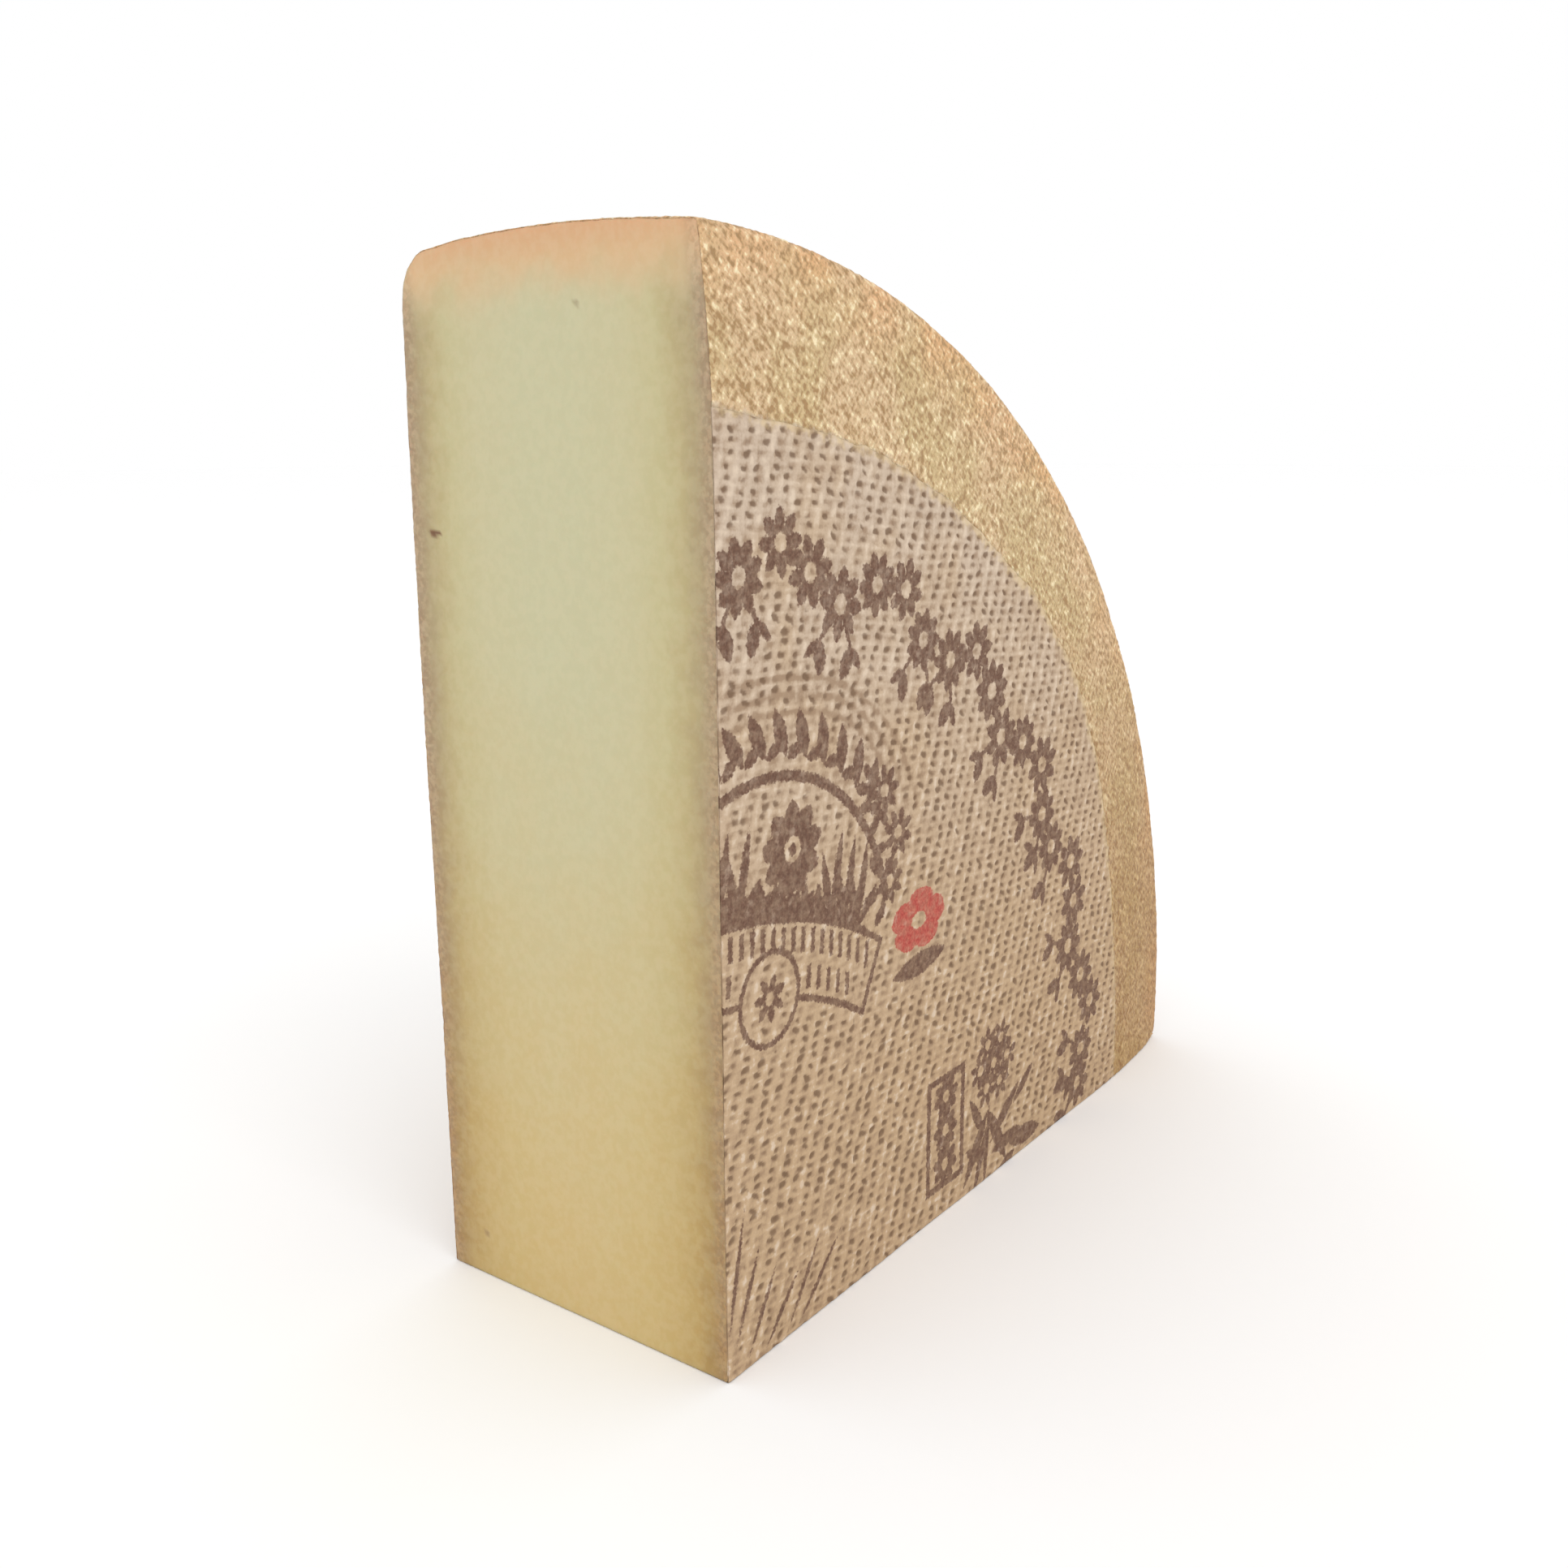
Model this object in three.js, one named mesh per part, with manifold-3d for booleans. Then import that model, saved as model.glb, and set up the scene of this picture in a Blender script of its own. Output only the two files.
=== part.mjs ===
// A quarter of a pressed hard-cheese wheel, standing on one of its two cut faces.
//
// Millimetres, +Z up. The wheel's axis runs along Y. The quarter rests on its level cut face,
// its upright cut face looks towards -X, the printed flat side of the wheel looks towards -Y
// and the plain flat side towards +Y. The origin is the middle of the base of its box.

import * as THREE from 'three';
import { mergeVertices } from 'three/addons/utils/BufferGeometryUtils.js';
import Module from 'manifold-3d';

// ---------------------------------------------------------------- driving dimensions

const WHEEL_RADIUS = 280; // at the crown of the rim
const WHEEL_THICKNESS = 101; // flat side to flat side, at the middle
const RIM_BULGE = 2.3; // the crown of the rim stands this far beyond the rim's edges
const OUT_OF_ROUND = 0.006; // share by which the radius grows halfway between the cut faces

const FRONT_SAG = 3.7; // how far the printed side falls away at the rim
const BACK_SAG = 1.1; // how far the plain side falls away at the rim
const SAG_START = 0.78; // share of the radius where a flat side begins to fall away

const FRONT_EDGE = { radial: 2.5, axial: 2 }; // rounding between the printed side and the rim
const BACK_EDGE = { radial: 15, axial: 10.5 }; // rounding between the plain side and the rim

const LABEL_RADIUS = 240;
const LABEL_THICKNESS = 0.5;
const LABEL_GAP = 0.3; // between the label and the cheese, behind it and round its edge

// ---------------------------------------------------------------- fineness of the facets

const STEPS_PER_TURN = 192; // a multiple of four, so both cuts pass through facet edges
const STEPS_PER_SIDE = 9; // along a flat side where it falls away
const STEPS_PER_EDGE = { front: 3, back: 7 };
const STEPS_PER_RIM = 10;

// ---------------------------------------------------------------- the wheel's outline

const EDGE_RADIUS = WHEEL_RADIUS - RIM_BULGE; // radius at the two edges of the rim
const SAG_RADIUS = SAG_START * EDGE_RADIUS;

/** How far a flat side has fallen away at a radius, for a side that falls by `sag` at the rim. */
function fallAt(radius, sag) {
  const share = Math.max(0, (radius - SAG_RADIUS) / (EDGE_RADIUS - SAG_RADIUS));
  return sag * share * share;
}

/** Height above the printed side's plane, which is y = 0 here; the plain side is at the thickness. */
function frontAt(radius) {
  return fallAt(radius, FRONT_SAG);
}

function backAt(radius) {
  return WHEEL_THICKNESS - fallAt(radius, BACK_SAG);
}

/** Radii from one value to another, in equal steps and with both ends. */
function spread(from, to, steps) {
  return Array.from({ length: steps + 1 }, (_, i) => from + ((to - from) * i) / steps);
}

/** The rim's outline between the two rounded edges: a shallow crown. */
function rimPoints(frontY, backY) {
  const middle = (frontY + backY) / 2;
  const half = (backY - frontY) / 2;
  return spread(frontY, backY, STEPS_PER_RIM).map((y) => {
    const share = (y - middle) / half;
    return new THREE.Vector2(EDGE_RADIUS + RIM_BULGE * (1 - share * share), y);
  });
}

/** A quarter of an ellipse from a flat side round to the rim. `turn` is 1 at the front, -1 at the back. */
function edgePoints(edge, sideY, turn, steps) {
  return spread(0, Math.PI / 2, steps).map(
    (angle) =>
      new THREE.Vector2(
        EDGE_RADIUS - edge.radial * (1 - Math.sin(angle)),
        sideY + turn * edge.axial * (1 - Math.cos(angle)),
      ),
  );
}

/** Half of the wheel's section, from the axis at the front round to the axis at the back. */
function wheelSection() {
  const recess = LABEL_THICKNESS + LABEL_GAP;
  const recessRadius = LABEL_RADIUS + LABEL_GAP;
  const frontEdgeStart = EDGE_RADIUS - FRONT_EDGE.radial;
  const backEdgeStart = EDGE_RADIUS - BACK_EDGE.radial;

  const recessFloor = [0, ...spread(SAG_RADIUS, recessRadius, STEPS_PER_SIDE)].map(
    (r) => new THREE.Vector2(r, frontAt(r) + recess),
  );
  const frontBand = spread(recessRadius, frontEdgeStart, STEPS_PER_SIDE).map(
    (r) => new THREE.Vector2(r, frontAt(r)),
  );
  const backSide = [0, ...spread(SAG_RADIUS, backEdgeStart, STEPS_PER_SIDE)].map(
    (r) => new THREE.Vector2(r, backAt(r)),
  );
  const frontEdge = edgePoints(FRONT_EDGE, frontAt(frontEdgeStart), 1, STEPS_PER_EDGE.front);
  const backEdge = edgePoints(BACK_EDGE, backAt(backEdgeStart), -1, STEPS_PER_EDGE.back);
  const rim = rimPoints(frontEdge.at(-1).y, backEdge.at(-1).y);

  return [
    ...recessFloor,
    ...frontBand,
    ...frontEdge.slice(1),
    ...rim.slice(1, -1),
    ...backEdge.reverse(),
    ...backSide.reverse().slice(1),
  ];
}

/** Half of the label's section: a thin sheet that follows the printed side. */
function labelSection() {
  const radii = [0, ...spread(SAG_RADIUS, LABEL_RADIUS, STEPS_PER_SIDE)];
  const outside = radii.map((r) => new THREE.Vector2(r, frontAt(r)));
  const inside = radii.map((r) => new THREE.Vector2(r, frontAt(r) + LABEL_THICKNESS));
  return [...outside, ...inside.reverse()];
}

// ---------------------------------------------------------------- solids

const wasm = await Module();
wasm.setup();

function toSolid(geometry) {
  const bare = geometry.clone();
  bare.deleteAttribute('normal');
  bare.deleteAttribute('uv');
  const merged = mergeVertices(bare, 1e-4);
  const mesh = new wasm.Mesh({
    numProp: 3,
    vertProperties: new Float32Array(merged.attributes.position.array),
    triVerts: new Uint32Array(merged.index.array),
  });
  return new wasm.Manifold(mesh);
}

function toGeometry(solid) {
  const mesh = solid.getMesh();
  const geometry = new THREE.BufferGeometry();
  geometry.setAttribute('position', new THREE.BufferAttribute(new Float32Array(mesh.vertProperties), 3));
  geometry.setIndex(new THREE.BufferAttribute(new Uint32Array(mesh.triVerts), 1));
  geometry.computeVertexNormals();
  return geometry;
}

/** Turns a section about the wheel's axis, then draws the round outline out of true a little. */
function turned(section) {
  const geometry = new THREE.LatheGeometry(section, STEPS_PER_TURN);
  const place = geometry.attributes.position;
  for (let i = 0; i < place.count; i += 1) {
    const x = place.getX(i);
    const z = place.getZ(i);
    const radius = Math.hypot(x, z);
    const twiceSine = radius > 0 ? (2 * x * z) / (radius * radius) : 0;
    const grow = 1 + OUT_OF_ROUND * twiceSine * (radius / EDGE_RADIUS);
    place.setX(i, x * grow);
    place.setZ(i, z * grow);
  }
  return geometry;
}

/** The quarter of space that the two cuts leave, larger than the wheel on its open sides. */
function quarterSpace() {
  const size = 2 * WHEEL_RADIUS;
  const box = new THREE.BoxGeometry(size, size, size);
  box.translate(size / 2, 0, size / 2);
  return box;
}

function quarterOf(section) {
  const quarter = toSolid(turned(section)).intersect(toSolid(quarterSpace()));
  const geometry = toGeometry(quarter);
  geometry.translate(-WHEEL_RADIUS / 2, -WHEEL_THICKNESS / 2, 0);
  return geometry;
}

// ---------------------------------------------------------------- the two pieces

function cheeseWedge() {
  const material = new THREE.MeshStandardMaterial({ color: 0xd2bf8e, roughness: 0.6, metalness: 0 });
  const mesh = new THREE.Mesh(quarterOf(wheelSection()), material);
  mesh.name = 'cheese_wedge';
  return mesh;
}

function faceLabel() {
  const material = new THREE.MeshStandardMaterial({ color: 0xc7ac90, roughness: 0.85, metalness: 0 });
  const mesh = new THREE.Mesh(quarterOf(labelSection()), material);
  mesh.name = 'face_label';
  return mesh;
}

const wedge = new THREE.Group();
wedge.add(cheeseWedge(), faceLabel());

export default wedge;
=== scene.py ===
"""A quarter of a pressed hard-cheese wheel standing on a cut face: cloth-marked rind, smooth paste
on the cuts, and a coarse perforated sheet with a plain floral print pressed into one flat side.

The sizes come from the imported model. Shapes are worked out in millimetres in the wheel's own frame,
whose origin is on the wheel's axis, level with the base and on the plane of the printed side: X and
Z run along the two cuts and Y through the wheel's thickness. to_metres() brings them into the
model's frame at the end.
"""

import math

import bmesh
import bpy
import numpy as np
from mathutils import Matrix, Vector


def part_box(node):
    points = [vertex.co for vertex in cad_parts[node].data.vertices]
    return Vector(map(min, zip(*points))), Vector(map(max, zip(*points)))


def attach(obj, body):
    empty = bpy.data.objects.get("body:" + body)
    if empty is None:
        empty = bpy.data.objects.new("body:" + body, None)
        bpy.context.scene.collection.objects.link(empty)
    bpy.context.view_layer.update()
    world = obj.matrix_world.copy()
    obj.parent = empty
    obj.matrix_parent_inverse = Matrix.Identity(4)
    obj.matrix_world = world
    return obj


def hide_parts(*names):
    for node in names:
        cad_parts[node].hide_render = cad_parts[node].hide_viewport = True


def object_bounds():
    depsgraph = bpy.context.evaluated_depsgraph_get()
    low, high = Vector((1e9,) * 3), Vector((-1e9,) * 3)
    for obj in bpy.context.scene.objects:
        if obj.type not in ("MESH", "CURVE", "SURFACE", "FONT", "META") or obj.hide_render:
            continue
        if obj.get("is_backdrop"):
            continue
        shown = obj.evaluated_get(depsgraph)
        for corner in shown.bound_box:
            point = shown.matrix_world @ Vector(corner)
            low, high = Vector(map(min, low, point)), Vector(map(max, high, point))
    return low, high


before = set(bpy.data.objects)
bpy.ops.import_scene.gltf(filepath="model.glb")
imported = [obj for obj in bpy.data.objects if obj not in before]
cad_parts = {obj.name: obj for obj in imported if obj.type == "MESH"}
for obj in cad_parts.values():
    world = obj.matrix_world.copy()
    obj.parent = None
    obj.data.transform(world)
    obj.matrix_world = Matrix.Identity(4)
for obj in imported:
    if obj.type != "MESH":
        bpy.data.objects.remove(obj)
cad_low, cad_high = (corner.copy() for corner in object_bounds())

# ------------------------------------------------------------------ sizes, in millimetres

MM = 0.001
TAU = 2 * math.pi

WHEEL_RADIUS = (cad_high.z - cad_low.z) / MM
THICKNESS = (cad_high.y - cad_low.y) / MM
LABEL_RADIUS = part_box("face_label")[1].z / MM
ORIGIN = np.array([cad_low.x, cad_low.y, cad_low.z]) / MM

RIM_BULGE = 2.3
OUT_OF_ROUND = 0.006
FRONT_SAG = 3.7
BACK_SAG = 1.1
SAG_START = 0.78  # share of the radius where a flat side begins to fall away
FRONT_EDGE = (2.5, 2.0)  # radial and axial size of the rounding
BACK_EDGE = (15.0, 10.5)

EDGE_RADIUS = WHEEL_RADIUS - RIM_BULGE
SAG_RADIUS = SAG_START * EDGE_RADIUS
FRONT_RADIUS = EDGE_RADIUS - FRONT_EDGE[0]
BACK_RADIUS = EDGE_RADIUS - BACK_EDGE[0]

LABEL_THICKNESS = 0.5
LABEL_GAP = 0.02  # between the label and the bed it lies in
CUT_ROUNDING = 1.4  # radius of the soft arris along every cut edge
FOOT_ROUNDING = 6.0  # radius where the rim meets the base
ARRIS_LOSS = 0.29  # share of its radius that a rounding takes off a square arris


def to_metres(places):
    return (places + ORIGIN) * MM


# ------------------------------------------------------------------ repeatable noise


def scattered(cells, seed):
    """A repeatable number from 0 to 1 for each cell; the last axis holds a cell's whole numbers."""
    mixed = np.full(cells.shape[:-1], seed * 1274126177, dtype=np.int64)
    for axis, prime in zip(range(cells.shape[-1]), (374761393, 668265263, 1440662683)):
        mixed += cells[..., axis].astype(np.int64) * prime
    mixed &= 0xFFFFFFFF
    mixed = ((mixed ^ (mixed >> 13)) * 1274126177) & 0xFFFFFFFF
    return ((mixed ^ (mixed >> 16)) & 0xFFFF) / 65535.0


def noise(places, size, seed):
    """Smooth noise from -1 to 1 whose lumps are about `size` millimetres across."""
    counted = places / size
    cell = np.floor(counted)
    part = counted - cell
    part = part * part * (3 - 2 * part)
    total = np.zeros(places.shape[:-1])
    for corner in np.ndindex(*(2,) * places.shape[-1]):
        weight = np.prod(np.where(corner, part, 1 - part), axis=-1)
        total += weight * scattered(cell + corner, seed)
    return 2 * total - 1


def smooth_step(low, high, value):
    share = np.clip((value - low) / (high - low), 0, 1)
    return share * share * (3 - 2 * share)


def smooth_least(first, second, reach):
    """The lesser of two distances, with the corner between them rounded over `reach`."""
    share = np.clip(0.5 + 0.5 * (second - first) / reach, 0, 1)
    return second + (first - second) * share - reach * share * (1 - share)


# ------------------------------------------------------------------ the wheel's outline

FRONT_EDGE_ROWS = 7
BACK_EDGE_ROWS = 27
CROWN_ROWS = 94


def fall(radius, sag):
    """How far a flat side has dropped away at a radius, for a side that drops `sag` at the rim."""
    share = np.clip((radius - SAG_RADIUS) / (EDGE_RADIUS - SAG_RADIUS), 0, None)
    return sag * share**2


def front_at(radius):
    return fall(radius, FRONT_SAG)


def back_at(radius):
    return THICKNESS - fall(radius, BACK_SAG)


def rounded_edge(turns, size, side_y, inwards):
    """An elliptical quarter turn between a flat side and the rim, as columns of radius and y."""
    radius = EDGE_RADIUS - size[0] * (1 - np.sin(turns))
    return np.stack([radius, side_y + inwards * size[1] * (1 - np.cos(turns))], axis=1)


def rim_outline():
    """Radius and y from the end of the printed side, over the rim, to the end of the plain side."""
    front_turns = np.linspace(0, math.pi / 2, FRONT_EDGE_ROWS)
    back_turns = np.linspace(math.pi / 2, 0, BACK_EDGE_ROWS)
    front = rounded_edge(front_turns, FRONT_EDGE, front_at(FRONT_RADIUS), 1)
    back = rounded_edge(back_turns, BACK_EDGE, back_at(BACK_RADIUS), -1)
    y = np.linspace(front[-1, 1], back[0, 1], CROWN_ROWS)[1:-1]
    share = (y - front[-1, 1]) / (back[0, 1] - front[-1, 1])
    crown = np.stack([EDGE_RADIUS + RIM_BULGE * (1 - (2 * share - 1) ** 2), y], axis=1)
    return np.concatenate([front, crown, back])


def out_of_round(places):
    """Draws the round outline out of true a little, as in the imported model."""
    radius = np.maximum(np.hypot(places[..., 0], places[..., 2]), 1e-9)
    twice_sine = 2 * places[..., 0] * places[..., 2] / radius**2
    grow = 1 + OUT_OF_ROUND * twice_sine * radius / EDGE_RADIUS
    return places * np.stack([grow, np.ones_like(grow), grow], axis=-1)


def label_edge(angles):
    """Radius of the label's outer edge, which was laid by hand and never quite runs true.

    It lies closer to the axis at the base than at the top, and bellies out about halfway up.
    """
    along = np.stack([angles * LABEL_RADIUS, np.zeros_like(angles)], axis=-1)
    degrees = np.degrees(angles)
    lean = LABEL_RADIUS - 10.5 + 8.0 * degrees / 90
    belly = 8.5 * np.exp(-(((degrees - 41) / 16) ** 2))
    return lean + belly + 0.8 * noise(along, 21, 11) + 0.5 * noise(along, 5, 12)


# ------------------------------------------------------------------ grids

SHORT_STEPS = (0.25, 0.4, 0.6, 0.8)  # next to a cut edge, as shares of the even step


def graded(count):
    """`count` values from 0 to 1, evenly spaced but for a few short steps at the start."""
    steps = np.ones(count - 1)
    steps[: len(SHORT_STEPS)] = SHORT_STEPS
    return np.concatenate([[0], np.cumsum(steps)]) / steps.sum()


def quarter_disc(count):
    """X and Z of a square grid squeezed into a quarter of a unit disc, with its edge to the arc."""
    along = graded(count)
    u, v = np.meshgrid(along, along, indexing="ij")
    return u * np.sqrt(1 - v * v / 2), v * np.sqrt(1 - u * u / 2)


def arc_of(grid):
    """The vertices along the arc of a quarter-disc grid, from the x side round to the z side."""
    return np.concatenate([grid[-1, :], grid[-2::-1, -1]])


def arc_angles(count):
    half = np.arcsin(graded(count) / math.sqrt(2))
    return np.concatenate([half, math.pi / 2 - half[-2::-1]])


def lengths_along(line):
    """Share of a polyline's length at each of its points."""
    steps = np.linalg.norm(np.diff(line, axis=0), axis=1)
    total = np.concatenate([[0], np.cumsum(steps)])
    return total / total[-1]


def filled(front, back, rim, axis):
    """A grid between four edges: front and back run outwards, axis and rim run front to back."""
    s = ((lengths_along(front) + lengths_along(back)) / 2)[:, None, None]
    t = ((lengths_along(rim) + lengths_along(axis)) / 2)[None, :, None]
    across = (1 - t) * front[:, None] + t * back[:, None]
    outwards = (1 - s) * axis[None] + s * rim[None]
    corners = (1 - s) * ((1 - t) * front[0] + t * back[0]) + s * ((1 - t) * front[-1] + t * back[-1])
    return across + outwards - corners


class Skin:
    """Collects patches of one closed mesh, then welds the vertices that they share."""

    def __init__(self):
        self.places = []
        self.inwards = []
        self.depths = []
        self.faces = []
        self.materials = []
        self.smooth = []
        self.count = 0

    def add(self, places, inwards, depths):
        """Adds vertices and gives back their numbers, in the same grid."""
        shape = places.shape[:-1]
        self.places.append(places.reshape(-1, 3))
        self.inwards.append(np.broadcast_to(inwards, places.shape).reshape(-1, 3))
        self.depths.append(np.broadcast_to(depths, shape).reshape(-1))
        numbers = np.arange(self.count, self.count + self.places[-1].shape[0]).reshape(shape)
        self.count += self.places[-1].shape[0]
        return numbers

    def cover(self, numbers, material, smooth=True):
        """Faces a grid of vertices with quads."""
        corners = (numbers[:-1, :-1], numbers[1:, :-1], numbers[1:, 1:], numbers[:-1, 1:])
        quads = np.stack(corners, axis=-1).reshape(-1, 4)
        self.faces.extend(quads.tolist())
        self.materials.extend([material] * len(quads))
        self.smooth.extend([smooth] * len(quads))

    def close(self, ring, material):
        """Faces a ring of vertices with one flat polygon."""
        self.faces.append(list(ring))
        self.materials.append(material)
        self.smooth.append(False)

    def welded(self):
        """The vertices' numbers by name, the faces, and each face's material and smoothness."""
        places = np.round(np.concatenate(self.places), 5) + 0.0
        places, first, new = np.unique(places, axis=0, return_index=True, return_inverse=True)
        new = new.reshape(-1)
        kept = dict(
            places=places,
            inwards=np.concatenate(self.inwards)[first],
            depths=np.concatenate(self.depths)[first],
        )
        faces = []
        looks = []
        for face, material, smooth in zip(self.faces, self.materials, self.smooth):
            numbers = [int(new[corner]) for corner in face]
            distinct = [n for n, before in zip(numbers, numbers[-1:] + numbers[:-1]) if n != before]
            if len(distinct) > 2:
                faces.append(distinct)
                looks.append((material, smooth))
        return kept, faces, looks


def ease(distance, rounding=CUT_ROUNDING):
    """How far a surface is drawn in at a distance from a cut edge, so that the edge is soft."""
    share = np.clip(1 - distance / rounding, 0, 1)
    return ARRIS_LOSS * rounding * share**2.4


def soften_cut_edges(kept):
    """Rounds every edge along the two cuts. Depth is 0 on the outside and grows into a cut face."""
    places = kept["places"]
    x, z = places[:, 0].copy(), places[:, 2].copy()
    depth = kept["depths"]
    outside = depth == 0
    near_rim = smooth_step(WHEEL_RADIUS - 14, WHEEL_RADIUS - 1, x)
    foot = CUT_ROUNDING + (FOOT_ROUNDING - CUT_ROUNDING) * near_rim
    places[outside] += (kept["inwards"] * (ease(x) + ease(z, foot))[:, None])[outside]
    for axis, along, rounding, cut in ((0, z, CUT_ROUNDING, x == 0), (2, x, foot, z == 0)):
        marks = cut_marks(places[:, 1], along) * smooth_step(0, 6, np.minimum(depth, along))
        places[cut, axis] += (ease(depth, rounding) + ease(along) + marks)[cut]


def cut_marks(across, along):
    """The faint waves, pits and drag lines that a wire leaves in a cut face, in millimetres deep."""
    surface = np.stack([across, along], axis=-1)
    waves = 0.10 * noise(surface * (0.25, 1.0), 9, 51) + 0.16 * noise(surface, 42, 52)
    grain = 0.03 * noise(surface, 1.6, 53)
    return np.clip(0.25 + waves + grain, 0, None)


def build(name, places, faces, looks, materials, attributes):
    """Makes an object from millimetre places, with named numbers on its vertices."""
    mesh = bpy.data.meshes.new(name)
    mesh.from_pydata(to_metres(places).tolist(), [], faces)
    mesh.polygons.foreach_set("material_index", [material for material, _ in looks])
    mesh.polygons.foreach_set("use_smooth", [smooth for _, smooth in looks])
    for material in materials:
        mesh.materials.append(material)
    for label, values in attributes.items():
        layer = mesh.attributes.new(label, "FLOAT", "POINT")
        layer.data.foreach_set("value", np.asarray(values, dtype=np.float32))
    shape = bmesh.new()
    shape.from_mesh(mesh)
    bmesh.ops.recalc_face_normals(shape, faces=shape.faces)
    shape.to_mesh(mesh)
    shape.free()
    piece = bpy.data.objects.new(name, mesh)
    bpy.context.scene.collection.objects.link(piece)
    return piece


# ------------------------------------------------------------------ the rind's relief

# The cheese is pressed in a cloth. Each pair says how often per millimetre, along the two
# directions of the surface, the cloth's threads leave a ridge.
SIDE_THREADS = ((0.21, 0.322), (0.352, -0.254))
RIM_THREADS = ((0.36, 0.05), (-0.04, 0.40))

THREAD_HEIGHT = 0.14
PEBBLE_HEIGHT = 0.15
LUMP_HEIGHT = 0.28


def threads(surface, pairs, seed):
    """Beads left by two crossing sets of cloth threads, from -1 to 1, waving and fading about."""
    total = 0
    for number, (along, across) in enumerate(pairs):
        drift = 0.6 * noise(surface, 19, seed + number) + 0.25 * noise(surface, 6, seed + 2 + number)
        ridge = np.cos(TAU * (along * surface[..., 0] + across * surface[..., 1] + drift))
        fading = 0.7 + 0.3 * noise(surface, 12, seed + 4 + number)
        total = total + 0.5 * fading * ridge
    return total * (0.2 + 0.8 * smooth_step(-0.4, 0.5, noise(surface, 24, seed + 7)))


def rind_relief(places, inwards):
    """How far the rind stands out, in millimetres, and the same as a number from -1 to 1."""
    flat = places[..., [0, 2]]
    angle = np.arctan2(places[..., 2], places[..., 0])
    round_rim = np.stack([angle * EDGE_RADIUS, places[..., 1]], axis=-1)
    facing_side = smooth_step(0.25, 0.8, np.abs(inwards[..., 1]))
    cloth = facing_side * threads(flat, SIDE_THREADS, 20)
    cloth = cloth + (1 - facing_side) * threads(round_rim, RIM_THREADS, 30)
    pebbles = 0.6 * noise(places, 1.7, 41) + 0.6 * noise(places, 1.0, 42)
    lumps = 0.6 * noise(places, 34, 43) + 0.4 * noise(places, 13, 44)
    height = THREAD_HEIGHT * cloth + PEBBLE_HEIGHT * pebbles + LUMP_HEIGHT * lumps
    return height, np.clip(0.75 * cloth + 0.5 * pebbles, -1, 1)


def raised(places, inwards, fade=1.0):
    """Presses the cloth's relief into smooth places."""
    height, _ = rind_relief(places, inwards)
    return places - inwards * (height * fade)[..., None]


# ------------------------------------------------------------------ the wedge

RIND, PASTE = 0, 1  # which of the wedge's two materials a face has

SIDE_SAMPLES = 300  # along each straight edge of the plain side
FLOOR_ROWS = 4
BAND_ROWS = 44
BARE_ROWS = 3  # of the band next to the label, where the relief fades out


def around(radius, y, angles):
    """Places at one radius and height for each angle; radius and y may differ from angle to angle."""
    y = np.broadcast_to(y, angles.shape)
    return np.stack([radius * np.cos(angles), y, radius * np.sin(angles)], axis=-1)


def back_patch():
    """The plain flat side, out to where the rounding of the rim starts."""
    x, z = (BACK_RADIUS * share for share in quarter_disc(SIDE_SAMPLES))
    places = out_of_round(np.stack([x, back_at(np.hypot(x, z)), z], axis=-1))
    inwards = np.broadcast_to([0.0, -1.0, 0.0], places.shape)
    return raised(places, inwards), inwards


def floor_rows(angles):
    """The outer part of the bed that the label lies in, where the side falls away."""
    wall = label_edge(angles)
    rows = []
    for share in np.linspace(0, 1, FLOOR_ROWS):
        radius = SAG_RADIUS + share * (wall - SAG_RADIUS)
        rows.append(around(radius, front_at(radius) + LABEL_THICKNESS + LABEL_GAP, angles))
    return out_of_round(np.stack(rows))


def band_rows(angles):
    """The bare rind between the label and the rim."""
    wall = label_edge(angles)
    rows = []
    for share in np.linspace(0, 1, BAND_ROWS):
        radius = wall + share * (FRONT_RADIUS - wall)
        rows.append(around(radius, front_at(radius), angles))
    places = out_of_round(np.stack(rows))
    inwards = np.broadcast_to([0.0, 1.0, 0.0], places.shape)
    fade = smooth_step(0, BARE_ROWS / BAND_ROWS, np.linspace(0, 1, BAND_ROWS))[:, None]
    return raised(places, inwards, fade), inwards


def rim_rows(angles):
    """The rim with its two rounded edges; the first and last rows lie on the flat sides."""
    outline = rim_outline()
    slope = np.gradient(outline, axis=0)
    slope /= np.linalg.norm(slope, axis=1, keepdims=True)
    slope[0] = (1, 0)
    slope[-1] = (-1, 0)
    rows = []
    inwards = []
    for (radius, y), (outwards, along) in zip(outline, slope):
        rows.append(around(radius, y, angles))
        level = np.full_like(angles, outwards)
        inwards.append(np.stack([-along * np.cos(angles), level, -along * np.sin(angles)], axis=-1))
    inwards = np.stack(inwards)
    return raised(out_of_round(np.stack(rows)), inwards), inwards


def depth_below_rind(places):
    """How deep a place on a cut lies below the printed side, the plain side and the rim."""
    radius = np.hypot(places[..., 0], places[..., 2])
    below_front = places[..., 1] - front_at(radius)
    below_back = back_at(radius) - places[..., 1]
    return np.maximum(below_front, 0), np.maximum(below_back, 0), np.maximum(WHEEL_RADIUS - radius, 0)


def nearest_rind(places):
    front, back, rim = depth_below_rind(places)
    return np.maximum(np.minimum(np.minimum(front, back), rim), 1e-3)


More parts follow.
